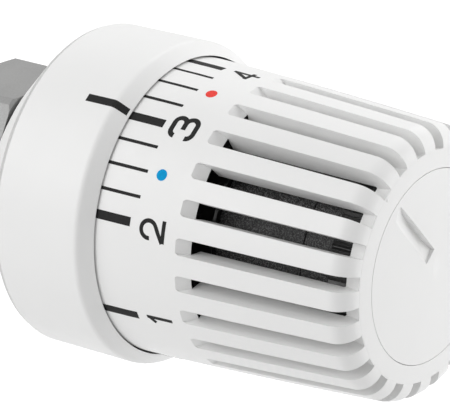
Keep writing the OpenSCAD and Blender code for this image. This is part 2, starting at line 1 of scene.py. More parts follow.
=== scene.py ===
"""A thermostatic radiator valve head, dressed around its CAD frame.

The CAD nodes stay as they are and get their finishes here. New pieces are the print on the
dial and the collar, the splines of the black ring, the thread in the nut, a mould mark, and
smooth-shaded copies of the springs and the bellows, which stand in for their hidden nodes.
Angles are measured round the head's axis, from +Z towards -Y.
"""

from __future__ import annotations

import logging
from dataclasses import dataclass, field
from enum import Enum
from math import atan2, cos, degrees, pi, radians, sin

import bmesh
import bpy
from bmesh.types import BMesh
from mathutils import Matrix, Vector
from mathutils.bvhtree import BVHTree

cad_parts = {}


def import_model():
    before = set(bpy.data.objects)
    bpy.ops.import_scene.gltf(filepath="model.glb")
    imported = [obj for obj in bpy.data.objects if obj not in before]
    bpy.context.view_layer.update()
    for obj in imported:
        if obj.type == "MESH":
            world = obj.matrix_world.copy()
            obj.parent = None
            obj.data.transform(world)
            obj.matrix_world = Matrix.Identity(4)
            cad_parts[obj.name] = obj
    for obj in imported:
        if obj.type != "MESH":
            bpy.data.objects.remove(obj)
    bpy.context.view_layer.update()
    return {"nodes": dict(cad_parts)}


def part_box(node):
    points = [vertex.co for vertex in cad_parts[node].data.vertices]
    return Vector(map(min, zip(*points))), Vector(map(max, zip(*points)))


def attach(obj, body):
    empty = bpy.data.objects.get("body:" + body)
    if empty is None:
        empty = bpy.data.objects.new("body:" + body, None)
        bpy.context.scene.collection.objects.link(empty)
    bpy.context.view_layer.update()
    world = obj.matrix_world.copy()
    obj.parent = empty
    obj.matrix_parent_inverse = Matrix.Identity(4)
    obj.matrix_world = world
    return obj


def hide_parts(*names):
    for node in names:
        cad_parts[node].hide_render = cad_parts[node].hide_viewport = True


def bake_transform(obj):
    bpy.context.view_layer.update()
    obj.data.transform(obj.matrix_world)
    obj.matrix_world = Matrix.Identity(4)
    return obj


log = logging.getLogger("valve_head")

MM = 0.001
PLASTIC_IOR = 1.5
INK_IOR = 1.45
NOISE_SPAN = (0.32, 0.68)
Colour = tuple[float, float, float]


class Body(Enum):
    """The moving bodies of the head that new pieces ride on."""

    BASE = "base"
    NUT = "nut"
    DIAL = "dial"
    CARRIAGE = "carriage"
    CAPSULE = "capsule"
    PIN = "pin"


class Slot(Enum):
    """The names of the record's material slots, which new pieces are listed with."""

    WHITE_PLASTIC = "white_plastic"
    BLACK_PLASTIC = "black_plastic"
    NICKEL_BRASS = "nickel_brass"
    SPRING_STEEL = "spring_steel"
    BELLOWS_BRONZE = "bellows_bronze"


class Grain(Enum):
    """How a finish's pattern is stretched, as its scale along X and across the axis."""

    EVEN = (1.0, 1.0, 1.0)
    RINGS = (1.0, 0.02, 0.02)
    LENGTHWISE = (0.06, 1.0, 1.0)


# ---------------------------------------------------------------- finishes


class ShaderTree:
    """The node tree of one finish while it is being built."""

    def __init__(self, name: str) -> None:
        """Starts a material that holds a plain Principled shader."""
        self.material = bpy.data.materials.new(name)
        self.material.use_nodes = True
        self.tree = self.material.node_tree
        self.shader = self.tree.nodes["Principled BSDF"]

    def add(
        self, kind: str, inputs: dict[str, object] | None = None, **settings: object
    ) -> bpy.types.Node:
        """Adds one node.

        Args:
            kind: The node's type.
            inputs: What each input gets, a value or another node's output.
            settings: The node's own properties.

        Returns:
            The new node.
        """
        node = self.tree.nodes.new(kind)
        for name, value in settings.items():
            setattr(node, name, value)
        for name, value in (inputs or {}).items():
            self.feed(node, name, value)
        return node

    def feed(self, node: bpy.types.Node, name: str, value: object) -> None:
        """Gives a node's input a value, or links another node's output to it."""
        if isinstance(value, bpy.types.NodeSocket):
            self.tree.links.new(value, node.inputs[name])
        else:
            node.inputs[name].default_value = value

    def noise(
        self, pitch: float, detail: float = 3.0, grain: Grain = Grain.EVEN
    ) -> bpy.types.NodeSocket:
        """Adds a soft noise on Object coordinates.

        Args:
            pitch: The size of its spots, in metres.
            detail: How much finer noise lies over it.
            grain: How the pattern is stretched.

        Returns:
            The noise's value, around 0.5.
        """
        places = self.add("ShaderNodeTexCoord").outputs["Object"]
        turned = self.add("ShaderNodeMapping", {"Vector": places, "Scale": grain.value})
        inputs = {"Vector": turned.outputs["Vector"], "Scale": 1.0 / pitch, "Detail": detail}
        return self.add("ShaderNodeTexNoise", inputs).outputs["Fac"]

    def between(self, value: bpy.types.NodeSocket, low: float, high: float) -> bpy.types.NodeSocket:
        """Spreads a noise over the range from low to high."""
        inputs = {"Value": value, "From Min": 0.3, "From Max": 0.7, "To Min": low, "To Max": high}
        return self.add("ShaderNodeMapRange", inputs).outputs["Result"]

    def tint(
        self,
        value: bpy.types.NodeSocket,
        dark: Colour,
        light: Colour,
        span: tuple[float, float] = NOISE_SPAN,
    ) -> bpy.types.NodeSocket:
        """Turns a noise into a colour.

        Args:
            value: The noise's value.
            dark: The colour at the lower end of the span and below it.
            light: The colour at its upper end and above it.
            span: The range of values over which the colour changes.

        Returns:
            The colour's socket.
        """
        ramp = self.add("ShaderNodeValToRGB", {"Fac": value})
        ends = ramp.color_ramp.elements
        ends[0].position, ends[1].position = span
        ends[0].color, ends[1].color = (*dark, 1.0), (*light, 1.0)
        return ramp.outputs["Color"]

    def bump(
        self, height: bpy.types.NodeSocket, depth: float, round_edge: float
    ) -> bpy.types.NodeSocket:
        """Adds a relief over softly rounded edges.

        Args:
            height: The relief's height, from 0 to 1.
            depth: Its full depth, in metres.
            round_edge: The radius that sharp edges seem to have, or 0 for none.

        Returns:
            The normal for the shader.
        """
        inputs: dict[str, object] = {"Height": height, "Distance": depth, "Strength": 1.0}
        if round_edge:
            rounded = self.add("ShaderNodeBevel", {"Radius": round_edge}, samples=6)
            inputs["Normal"] = rounded.outputs["Normal"]
        return self.add("ShaderNodeBump", inputs).outputs["Normal"]

    def dress_shader(self, **inputs: object) -> None:
        """Sets the Principled shader's inputs, with _ in place of a space in their names."""
        for name, value in inputs.items():
            self.feed(self.shader, name.replace("_", " "), value)


def shade(colour: Colour, factor: float) -> Colour:
    """A colour made darker or lighter by a factor."""
    return (colour[0] * factor, colour[1] * factor, colour[2] * factor)


@dataclass(frozen=True)
class Finish:
    """One surface finish, whose material is made once and then shared."""

    name: str

    def material(self) -> bpy.types.Material:
        """The finish's material, made on first use."""
        found = bpy.data.materials.get(self.name)
        if found is None:
            tree = ShaderTree(self.name)
            self.paint(tree)
            found = tree.material
        return found

    def paint(self, tree: ShaderTree) -> None:
        """Builds the finish into a fresh tree."""
        raise NotImplementedError


@dataclass(frozen=True)
class SatinPlastic(Finish):
    """Moulded plastic with a satin skin, faint flow clouds and softened edges."""

    colour: Colour
    roughness: float = 0.42
    clouds: float = 0.012
    cloud_pitch: float = 14 * MM
    gloss_pitch: float = 3 * MM
    skin_pitch: float = 0.35 * MM
    skin_depth: float = 0.004 * MM
    edge: float = 0.12 * MM

    def paint(self, tree: ShaderTree) -> None:
        """Builds clouded colour, uneven gloss and a very fine eroded skin."""
        cloud = tree.noise(self.cloud_pitch, detail=4.0)
        skin = tree.noise(self.skin_pitch, detail=2.0)
        gloss = tree.noise(self.gloss_pitch)
        tree.dress_shader(
            Base_Color=tree.tint(cloud, shade(self.colour, 1 - self.clouds), self.colour),
            Roughness=tree.between(gloss, self.roughness - 0.04, self.roughness + 0.05),
            Normal=tree.bump(skin, self.skin_depth, self.edge),
            IOR=PLASTIC_IOR,
        )


@dataclass(frozen=True)
class ErodedPlastic(Finish):
    """Dark plastic from a coarse spark-eroded mould, grey specks on near black."""

    dark: Colour = (0.014, 0.014, 0.014)
    speck: Colour = (0.2, 0.2, 0.2)
    speck_span: tuple[float, float] = (0.46, 0.68)
    pitch: float = 0.24 * MM
    depth: float = 0.06 * MM
    gloss_pitch: float = 0.6 * MM
    edge: float = 0.12 * MM

    def paint(self, tree: ShaderTree) -> None:
        """Builds the specks in colour and in relief."""
        specks = tree.noise(self.pitch, detail=5.0)
        tree.dress_shader(
            Base_Color=tree.tint(specks, self.dark, self.speck, self.speck_span),
            Roughness=tree.between(tree.noise(self.gloss_pitch), 0.48, 0.68),
            Normal=tree.bump(specks, self.depth, self.edge),
            IOR=PLASTIC_IOR,
        )


@dataclass(frozen=True)
class GlossPlastic(Finish):
    """Glossy plastic with a slight orange-peel skin."""

    colour: Colour = (0.008, 0.008, 0.008)
    roughness: float = 0.2
    cloud_pitch: float = 6 * MM
    wave_pitch: float = 1.6 * MM
    wave_depth: float = 0.01 * MM
    edge: float = 0.1 * MM

    def paint(self, tree: ShaderTree) -> None:
        """Builds a smooth dark skin with faint waves and clouds."""
        waves = tree.noise(self.wave_pitch)
        clouds = tree.noise(self.cloud_pitch)
        tree.dress_shader(
            Base_Color=tree.tint(clouds, self.colour, shade(self.colour, 1.5)),
            Roughness=tree.between(waves, self.roughness - 0.05, self.roughness + 0.08),
            Normal=tree.bump(waves, self.wave_depth, self.edge),
            IOR=PLASTIC_IOR,
        )


@dataclass(frozen=True)
class PrintInk(Finish):
    """Pad-printed ink: a thin flat coat that covers unevenly."""

    colour: Colour
    pitch: float = 0.5 * MM
    depth: float = 0.004 * MM
    sheen: float = 0.08

    def paint(self, tree: ShaderTree) -> None:
        """Builds ink with small changes of cover and gloss."""
        cover = tree.noise(self.pitch, detail=4.0)
        tree.dress_shader(
            Base_Color=tree.tint(cover, shade(self.colour, 0.9), shade(self.colour, 1.1)),
            Roughness=tree.between(cover, 0.5, 0.62),
            Normal=tree.bump(cover, self.depth, 0.0),
            Specular_IOR_Level=self.sheen,
            IOR=INK_IOR,
        )


@dataclass(frozen=True)
class Metal(Finish):
    """Bare or plated metal, from blasted to turned or drawn."""

    colour: Colour
    roughness: float
    grain: Grain = Grain.EVEN
    pitch: float = 0.3 * MM
    depth: float = 0.006 * MM
    patch_pitch: float = 7 * MM
    edge: float = 0.15 * MM

    def paint(self, tree: ShaderTree) -> None:
        """Builds the metal's tool marks, its dull patches and its edges."""
        marks = tree.noise(self.pitch, detail=3.0, grain=self.grain)
        patches = tree.noise(self.patch_pitch, detail=2.0)
        tree.dress_shader(
            Base_Color=tree.tint(patches, shade(self.colour, 0.93), self.colour),
            Metallic=1.0,
            Roughness=tree.between(marks, self.roughness - 0.05, self.roughness + 0.07),
            Normal=tree.bump(marks, self.depth, self.edge),
        )


WHITE_SHELL = SatinPlastic("white_shell", (0.86, 0.86, 0.855))
GRAINED_SLEEVE = ErodedPlastic("grained_sleeve")
BLACK_GLOSS = GlossPlastic("black_gloss")
SPLINE_GLOSS = GlossPlastic("spline_gloss", (0.028, 0.028, 0.028), 0.22)
BLACK_INK = PrintInk("black_ink", (0.025, 0.025, 0.025))
RED_INK = PrintInk("red_ink", (0.83, 0.070, 0.058))
BLUE_INK = PrintInk("blue_ink", (0.001, 0.33, 0.68))
BLASTED_NICKEL = Metal(
    "blasted_nickel", (0.29, 0.29, 0.287), 0.62, pitch=0.25 * MM, edge=0.18 * MM
)
SPRING_WIRE = Metal("spring_wire", (0.58, 0.58, 0.6), 0.28, Grain.LENGTHWISE)
TURNED_BRASS = Metal("turned_brass", (0.72, 0.53, 0.25), 0.3, Grain.RINGS, pitch=0.2 * MM)
GROUND_BRASS = Metal("ground_brass", (0.78, 0.63, 0.36), 0.2, Grain.LENGTHWISE)
DRAWN_COPPER = Metal("drawn_copper", (0.72, 0.4, 0.27), 0.36, Grain.LENGTHWISE)
FORMED_BRONZE = Metal("formed_bronze", (0.74, 0.52, 0.26), 0.26, Grain.RINGS)

NODE_FINISHES: dict[str, Finish] = {
    "coupling_nut": BLASTED_NICKEL,
    "base_housing": WHITE_SHELL,
    "scale_collar": WHITE_SHELL,
    "guide_tube": BLACK_GLOSS,
    "stop_ring": BLACK_GLOSS,
    "nut_snap_ring": SPRING_WIRE,
    "pin_bush": TURNED_BRASS,
    "handwheel": WHITE_SHELL,
    "end_cap": WHITE_SHELL,
    "spline_ring": BLACK_GLOSS,
    "sleeve_rear": GRAINED_SLEEVE,
    "sleeve_front": GRAINED_SLEEVE,
    "thrust_washer": SPRING_WIRE,
    "spring_seat": SPRING_WIRE,
    "overtravel_spring": SPRING_WIRE,
    "sensor_capsule": DRAWN_COPPER,
    "capsule_lid": TURNED_BRASS,
    "fill_plug": DRAWN_COPPER,
    "bellows": FORMED_BRONZE,
    "return_spring": SPRING_WIRE,
    "push_pin": GROUND_BRASS,
    "thrust_cup": SPRING_WIRE,
}


def dress(node: bpy.types.Object, finish: Finish) -> None:
    """Gives every material slot of a CAD node the finish."""
    if not node.material_slots:
        node.data.materials.append(finish.material())
    for slot in node.material_slots:
        slot.material = finish.material()


# ---------------------------------------------------------------- making pieces


def on_axis_circle(x: float, radius: float, angle: float) -> Vector:
    """The point at a station, a radius and an angle round the head's axis."""
    return Vector((x, -radius * sin(angle), radius * cos(angle)))


def add_object(name: str, shape: BMesh, finish: Finish, slot: Slot | None) -> bpy.types.Object:
    """Turns a mesh under construction into an object with its finish.

    Args:
        name: The object's name.
        shape: The mesh, already in its place. It is used up.
        finish: The object's finish.
        slot: The record's material slot named for the piece, if there is one; it is not used.

    Returns:
        The new object, with no parent yet.
    """
    bmesh.ops.recalc_face_normals(shape, faces=shape.faces)
    mesh = bpy.data.meshes.new(name)
    shape.to_mesh(mesh)
    shape.free()
    mesh.materials.append(finish.material())
    piece = bpy.data.objects.new(name, mesh)
    bpy.context.scene.collection.objects.link(piece)
    log.info("%s: %d faces", name, len(mesh.polygons))
    return piece


def finish_piece(
    name: str, shape: BMesh, finish: Finish, body: Body, slot: Slot | None = None
) -> bpy.types.Object:
    """Adds a piece of the head that rides on one body.

    Args:
        name: The piece's name.
        shape: The mesh, already in its place. It is used up.
        finish: The piece's finish.
        body: The body that it rides on.
        slot: The record's material slot named for the piece, if there is one; it is passed on to
            add_object, which does not use it.

    Returns:
        The new object.
    """
    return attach(add_object(name, shape, finish, slot), body.value)


def join_shapes(parts: list[BMesh]) -> BMesh:
    """Puts several meshes into one and frees them."""
    whole = bmesh.new()
    for part in parts:
        holder = bpy.data.meshes.new("part")
        part.to_mesh(holder)
        part.free()
        whole.from_mesh(holder)
        bpy.data.meshes.remove(holder)
    return whole


class Surface:
    """The outer skin of a CAD node, which print is laid on."""

    reach = 80 * MM

    def __init__(self, node: bpy.types.Object) -> None:
        """Reads the node's mesh once."""
        mesh = node.data
        corners = [vert.co.copy() for vert in mesh.vertices]
        self.tree = BVHTree.FromPolygons(corners, [tuple(face.vertices) for face in mesh.polygons])

    def radius_at(self, x: float, angle: float) -> float:
        """The skin's radius.

        Args:
            x: The station on the head's axis.
            angle: The angle round it, in radians.

        Returns:
            The radius in metres.
        """
        start = on_axis_circle(x, self.reach, angle)
        inward = on_axis_circle(0.0, -1.0, angle)
        hit = self.tree.ray_cast(start, inward)
        if hit[0] is None:
            raise ValueError(f"no skin at x {x:.4f}, angle {angle:.3f}")
        return Vector((0.0, hit[0].y, hit[0].z)).length

    def front_at(self, radius: float, angle: float) -> Vector:
        """The skin's point at a radius and an angle, as seen from the front."""
        start = on_axis_circle(2 * self.reach, radius, angle)
        hit = self.tree.ray_cast(start, Vector((-1.0, 0.0, 0.0)))
        if hit[0] is None:
            raise ValueError(f"no front at radius {radius:.4f}")
        return hit[0]


@dataclass
class Print:
    """Thin print wrapped round a surface of revolution.

    A flat mark has its right along +X and its top along +Y. On the surface its top points
    back towards the nut and its right towards smaller angles, as the figures read.
    """

    surface: Surface
    sunk: float = 0.02 * MM
    proud: float = 0.03 * MM
    step: float = 0.45 * MM
    least_rest: float = 0.2
    snap: float = 1e-7

    def thicken(self, flat: BMesh) -> None:
        """Cuts a flat mark into small faces and makes it a closed, thin body."""
        across = [vert.co.x for vert in flat.verts]
        along = [vert.co.y for vert in flat.verts]
        for axis, values in ((Vector((1, 0, 0)), across), (Vector((0, 1, 0)), along)):
            place = min(values) + self.step
            while place < max(values) - self.least_rest * self.step:
                bmesh.ops.bisect_plane(
                    flat,
                    geom=[*flat.verts, *flat.edges, *flat.faces],
                    plane_co=axis * place,
                    plane_no=axis,
                    dist=self.snap,
                )
                place += self.step
        for vert in flat.verts:
            vert.co.z = -self.sunk
        grown = bmesh.ops.extrude_face_region(flat, geom=flat.faces[:])["geom"]
        risen = [part for part in grown if isinstance(part, bmesh.types.BMVert)]
        bmesh.ops.translate(flat, verts=risen, vec=(0, 0, self.sunk + self.proud))

    def wrap(self, flat: BMesh, x: float, angle: float) -> BMesh:
        """Thickens a flat mark and bends it onto the surface.

        Args:
            flat: The mark, drawn round the point that goes to the given place.
            x: The station of the mark's own origin.
            angle: The angle of the mark's own origin, in radians.

        Returns:
            The same mesh, in its place.
        """
        self.thicken(flat)
        girth = self.surface.radius_at(x, angle)
        for vert in flat.verts:
            station, turn = x - vert.co.y, angle - vert.co.x / girth
            radius = self.surface.radius_at(station, turn) + vert.co.z
            vert.co = on_axis_circle(station, radius, turn)
        return flat


def flat_bar(width: float, back: float, front: float) -> BMesh:
    """A flat bar whose origin is on the line that it starts from.

    Args:
        width: Its width across the axis.
        back: How far it reaches back towards the nut.
        front: How far it reaches towards the cap.

    Returns:
        The flat mesh.
    """
    bar = bmesh.new()
    middle = Matrix.Translation((0, (back - front) / 2, 0))
    place = middle @ Matrix.Diagonal((width, back + front, 1, 1))
    bmesh.ops.create_grid(bar, x_segments=1, y_segments=1, size=0.5, matrix=place)
    return bar


def flat_dot(radius: float) -> BMesh:
    """A flat round dot."""
    dot = bmesh.new()
    bmesh.ops.create_circle(dot, cap_ends=True, segments=40, radius=radius)
    return dot


class Pen:
    """Draws flat strokes of an even width, right along +X and up along +Y."""

    arc_step = radians(9.0)

    def __init__(self, width: float) -> None:
        """Takes up a pen of one width, with an empty sheet."""
        self.width = width
        self.strokes: list[BMesh] = []
        self.heading = 0.0
        self.place = Vector((0.0, 0.0, 0.0))
        self.tip: list[bmesh.types.BMEdge] = []

    def set_down(self, x: float, y: float, heading: float) -> None:
        """Starts a new stroke.

        Args:
            x: Where its middle line starts, across.
            y: Where its middle line starts, upwards.
            heading: The direction it sets out in, in degrees from +X towards +Y.
        """
        self.heading = radians(heading)
        self.place = Vector((x, y, 0.0))
        aside = self.aside() * (self.width / 2)
        stroke = bmesh.new()
        ends = [stroke.verts.new(self.place + aside), stroke.verts.new(self.place - aside)]
        self.tip = [stroke.edges.new(ends)]
        self.strokes.append(stroke)

    def start_arc(self, centre: tuple[float, float], radius: float, start: float) -> None:
        """Starts a stroke that is to run clockwise round a centre.

        Args:
            centre: The arc's centre, across and upwards.
            radius: The radius of the stroke's middle line.
            start: Where it starts, in degrees from +X towards +Y.
        """
        across, upwards = radius * cos(radians(start)), radius * sin(radians(start))
        self.set_down(centre[0] + across, centre[1] + upwards, start - 90.0)

    def aside(self) -> Vector:
        """The direction to the left of the pen's heading."""
        return Vector((-sin(self.heading), cos(self.heading), 0.0))

    def draw(self, length: float) -> None:
        """Draws straight on."""
        move = Vector((cos(self.heading), sin(self.heading), 0.0)) * length
        grown = bmesh.ops.extrude_edge_only(self.strokes[-1], edges=self.tip)["geom"]
        self.tip = [part for part in grown if isinstance(part, bmesh.types.BMEdge)]
        bmesh.ops.translate(self.strokes[-1], verts=list(self.tip[0].verts), vec=move)
        self.place += move

    def curve(self, radius: float, sweep: float) -> None:
        """Draws an arc.

        Args:
            radius: The radius of the stroke's middle line.
            sweep: How far the heading turns, in degrees, to the left when above 0.
        """
        side = 1.0 if sweep > 0 else -1.0
        centre = self.place + self.aside() * (side * radius)
        spun = bmesh.ops.spin(
            self.strokes[-1],
            geom=[*self.tip[0].verts, self.tip[0]],
            cent=centre,
            axis=(0.0, 0.0, 1.0),
            angle=radians(sweep),
            steps=max(2, round(abs(radians(sweep)) / self.arc_step)),
        )["geom_last"]
        self.tip = [part for part in spun if isinstance(part, bmesh.types.BMEdge)]
        self.place = centre + Matrix.Rotation(radians(sweep), 3, "Z") @ (self.place - centre)
        self.heading += radians(sweep)


# ---------------------------------------------------------------- sub-assemblies


@dataclass
class Figure:
    """One figure of the scale, drawn round its own middle."""

    name: str
    setting: int
    width: float
    height: float = 5.3 * MM
    middle: float = 11.68 * MM
    lag: float = 0.0
    weight: float = 0.75 * MM

    def draw(self, pen: Pen) -> None:
        """Draws the figure's strokes."""
        raise NotImplementedError

    def strokes(self) -> list[BMesh]:
        """The figure's flat strokes."""
        pen = Pen(self.weight)
        self.draw(pen)
        return pen.strokes

    @property
    def top(self) -> float:
        """The height of the uppermost middle line."""
        return (self.height - self.weight) / 2

    @property
    def side(self) -> float:
        """The distance of the outermost middle lines from the figure's middle."""
        return (self.width - self.weight) / 2


class FigureOne(Figure):
    """A stem with a slanting flag."""

    flag_drop = 0.08 * MM
    flag_heading = 226.0
    flag_reach = 2.1

    def draw(self, pen: Pen) -> None:
        """Draws the stem, then the flag down from its top."""
        pen.set_down(self.side, -self.height / 2, 90.0)
        pen.draw(self.height)
        pen.set_down(self.side, self.top - self.flag_drop, self.flag_heading)
        pen.draw(self.flag_reach * self.side)


class FigureTwo(Figure):
    """A round head that runs out into a straight slant and a base."""

    head_inset = 0.1 * MM
    head_start = 190.0
    head_sweep = 250.0
    slant_share = 0.94

    def draw(self, pen: Pen) -> None:
        """Draws the head with the slant, then the base."""
        radius = self.side - self.head_inset
        centre = self.top - radius
        pen.start_arc((0.0, centre), radius, self.head_start)
        pen.curve(radius, -self.head_sweep)
        slant = radians(self.head_start - self.head_sweep)
        drop = centre + radius * sin(slant) + self.top
        pen.draw(self.slant_share * drop / cos(slant))
        pen.set_down(-self.width / 2, -self.top, 0.0)
        pen.draw(self.width)


class FigureThree(Figure):
    """Two bowls, the lower one wider."""

    waist = 0.1 * MM
    waist_reach = 0.4 * MM
    upper_share = 0.94
    upper_start = 178.0
    lower_tail = 92.0

    def draw(self, pen: Pen) -> None:
        """Draws the upper bowl, then the lower one."""
        upper, lower = (self.top - self.waist) / 2, (self.top + self.waist) / 2
        upper_reach, lower_reach = self.upper_share * self.side - upper, self.side - lower
        pen.start_arc((-upper_reach, self.top - upper), upper, self.upper_start)
        pen.curve(upper, 90.0 - self.upper_start)
        pen.draw(2 * upper_reach)
        pen.curve(upper, -180.0)
        pen.draw(upper_reach + self.waist_reach)
        pen.set_down(-self.waist_reach, self.waist, 0.0)
        pen.draw(lower_reach + self.waist_reach)
        pen.curve(lower, -180.0)
        pen.draw(2 * lower_reach)
        pen.curve(lower, -self.lower_tail)


class FigureFour(Figure):
    """A stem, a crossbar and a slant."""

    stem_share = 0.42
    bar_share = 0.45

    def draw(self, pen: Pen) -> None:
        """Draws the stem, the crossbar and the slant between their ends."""
        stem, bar = self.stem_share * self.side, -self.bar_share * self.top
        pen.set_down(stem, -self.height / 2, 90.0)
        pen.draw(self.height)
        pen.set_down(-self.width / 2, bar, 0.0)
        pen.draw(self.width)
        slant = Vector((-self.side - stem, bar - self.top))
        pen.set_down(stem, self.top, degrees(atan2(slant.y, slant.x)))
        pen.draw(slant.length)


class FigureFive(Figure):
    """A top bar, a short stem and a bowl."""

    bar_start = 0.75
    bar_length = 1.65
    stem_heading = 266.0
    stem_share = 0.5
    bowl_start = 150.0
    bowl_sweep = 300.0

    def draw(self, pen: Pen) -> None:
        """Draws the bar, the stem and the bowl."""
        pen.set_down(-self.bar_start * self.side, self.top, 0.0)
        pen.draw(self.bar_length * self.side)
        pen.set_down(-self.bar_start * self.side, self.height / 2, self.stem_heading)
        pen.draw(self.stem_share * self.height)
        pen.start_arc((0.0, self.side - self.top), self.side, self.bowl_start)
        pen.curve(self.side, -self.bowl_sweep)


class FigureZero(Figure):
    """A tall ring."""

    def draw(self, pen: Pen) -> None:
        """Draws the ring in one stroke."""
        straight = 2 * (self.top - self.side)
        pen.set_down(self.side, -straight / 2, 90.0)
        for _ in range(2):
            pen.draw(straight)
            pen.curve(self.side, 180.0)


@dataclass
class Dial:
    """The turning dial's print, its splined ring and the mould mark on its front."""

    lip: float
    surface: Surface
    rest_angle: float = 36.8
    setting_pitch: float = 40.0
    minor_pitch: float = 10.0
    settings: range = range(-1, 6)
    settings_with_minor: tuple[int, ...] = (2, 3)
    minor_count: int = 3
    tuck: float = 2.0 * MM
    major_width: float = 1.62 * MM
    major_length: float = 7.0 * MM
    minor_width: float = 0.58 * MM
    minor_length: float = 8.1 * MM
    dot_radius: float = 1.03 * MM
    dot_middle: float = 11.05 * MM
    red_setting: float = 3.5
    blue_setting: float = 2.5
    stroke_rise: float = 0.003 * MM
    spline_tip: float = 17.85 * MM
    spline_root: float = 17.58 * MM
    spline_inner: float = 17.52 * MM
    spline_count: int = 96
    mark_place: tuple[float, float] = (19.95 * MM, 38.6)
    mark_radius: float = 0.3 * MM
    mark_flatness: float = 0.35
    figures: list[Figure] = field(default_factory=lambda: [
        FigureOne("one", 1, 2.25 * MM, lag=0.85, weight=0.7 * MM),
        FigureTwo("two", 2, 4.0 * MM, lag=1.1),
        FigureThree("three", 3, 4.95 * MM, 5.5 * MM, 11.1 * MM, -0.4, 0.93 * MM),
        FigureFour("four", 4, 3.4 * MM, lag=0.2, weight=0.7 * MM),
        FigureFive("five", 5, 3.9 * MM),
        FigureZero("zero", -1, 3.8 * MM),
    ])

    def angle_of(self, setting: float) -> float:
        """The angle of a setting's tick at rest, in radians."""
        return radians(self.rest_angle + (3 - setting) * self.setting_pitch)

    def print_ticks(self) -> None:
        """Prints the broad ticks of the settings and the fine ticks between 2 and 4."""
        wrap = Print(self.surface).wrap
        broad = [
            wrap(
                flat_bar(self.major_width, self.tuck, self.major_length),
                self.lip,
                self.angle_of(setting),
            )
            for setting in self.settings
        ]
        finish_piece("broad_ticks", join_shapes(broad), BLACK_INK, Body.DIAL)
        fine = [
            wrap(
                flat_bar(self.minor_width, self.tuck, self.minor_length),
                self.lip,
                self.angle_of(setting) - radians(self.minor_pitch * count),
            )
            for setting in self.settings_with_minor
            for count in range(1, self.minor_count + 1)
        ]
        finish_piece("fine_ticks", join_shapes(fine), BLACK_INK, Body.DIAL)

    def print_figures(self) -> None:
        """Prints the figures of the settings, each stroke a little higher than the one before."""
        for figure in self.figures:
            middle = self.lip + figure.middle
            angle = self.angle_of(figure.setting) + radians(figure.lag)
            laid = [
                Print(self.surface, proud=Print.proud + order * self.stroke_rise).wrap(
                    stroke, middle, angle
                )
                for order, stroke in enumerate(figure.strokes())
            ]
            finish_piece("figure_" + figure.name, join_shapes(laid), BLACK_INK, Body.DIAL)

    def print_dots(self) -> None:
        """Prints the red dot between 3 and 4 and the blue dot between 2 and 3."""
        dots = (("red_dot", RED_INK, self.red_setting), ("blue_dot", BLUE_INK, self.blue_setting))
        for name, finish, setting in dots:
            shape = Print(self.surface).wrap(
                flat_dot(self.dot_radius), self.lip + self.dot_middle, self.angle_of(setting)
            )
            finish_piece(name, shape, finish, Body.DIAL)

    def cut_splines(self) -> None:
        """Wraps the black ring in a skin of fine axial splines."""
        low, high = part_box("spline_ring")
        skin = bmesh.new()
        start = Matrix.Translation((low.x, 0, 0)) @ Matrix.Rotation(pi / 2, 4, "Y")
        corners, shrink = 2 * self.spline_count, self.spline_root / self.spline_tip
        outer = bmesh.ops.create_circle(
            skin, segments=corners, radius=self.spline_tip, matrix=start
        )
        for vert in outer["verts"][::2]:
            bmesh.ops.scale(skin, verts=[vert], vec=(1, shrink, shrink))
        bmesh.ops.create_circle(skin, segments=corners, radius=self.spline_inner, matrix=start)
        bmesh.ops.bridge_loops(skin, edges=skin.edges[:])
        grown = bmesh.ops.extrude_face_region(skin, geom=skin.faces[:])["geom"]
        moved = [part for part in grown if isinstance(part, bmesh.types.BMVert)]
        bmesh.ops.translate(skin, verts=moved, vec=(high.x - low.x, 0, 0))
        finish_piece("ring_splines", skin, SPLINE_GLOSS, Body.DIAL, Slot.BLACK_PLASTIC)

    def raise_mould_mark(self) -> None:
        """Leaves the small ejector mark on the front ring."""
        radius, angle = self.mark_place
        point = self.surface.front_at(radius, radians(angle))
        mark = bmesh.new()
        place = Matrix.Translation(point) @ Matrix.Diagonal((self.mark_flatness, 1, 1, 1))
        bmesh.ops.create_uvsphere(
            mark, u_segments=20, v_segments=12, radius=self.mark_radius, matrix=place
        )
        for face in mark.faces:
            face.smooth = True
        finish_piece("mould_mark", mark, WHITE_SHELL, Body.DIAL, Slot.WHITE_PLASTIC)

    def build(self) -> None:
        """Makes every new piece of the dial."""
        self.print_ticks()
        self.print_figures()
        self.print_dots()
        self.cut_splines()
        self.raise_mould_mark()


@dataclass
class Collar:
    """The fixed collar's index mark, which the dial's ticks are read against."""

    lip: float
    surface: Surface
    angle: float = 36.8
    width: float = 1.5 * MM
    reach_back: float = 8.4 * MM
    bend: float = 2.38 * MM
    margin: float = 0.35 * MM
    step: float = 0.3 * MM

    def build(self) -> None:
        """Prints the index over the collar and down its bevelled lip."""
        wrap = Print(self.surface, step=self.step).wrap
        parts = [
            wrap(flat_bar(self.width, 0.0, rear - front), self.lip - rear, radians(self.angle))
            for rear, front in ((self.reach_back, self.bend), (self.bend, self.margin))
        ]
        finish_piece("index_mark", join_shapes(parts), BLACK_INK, Body.BASE)


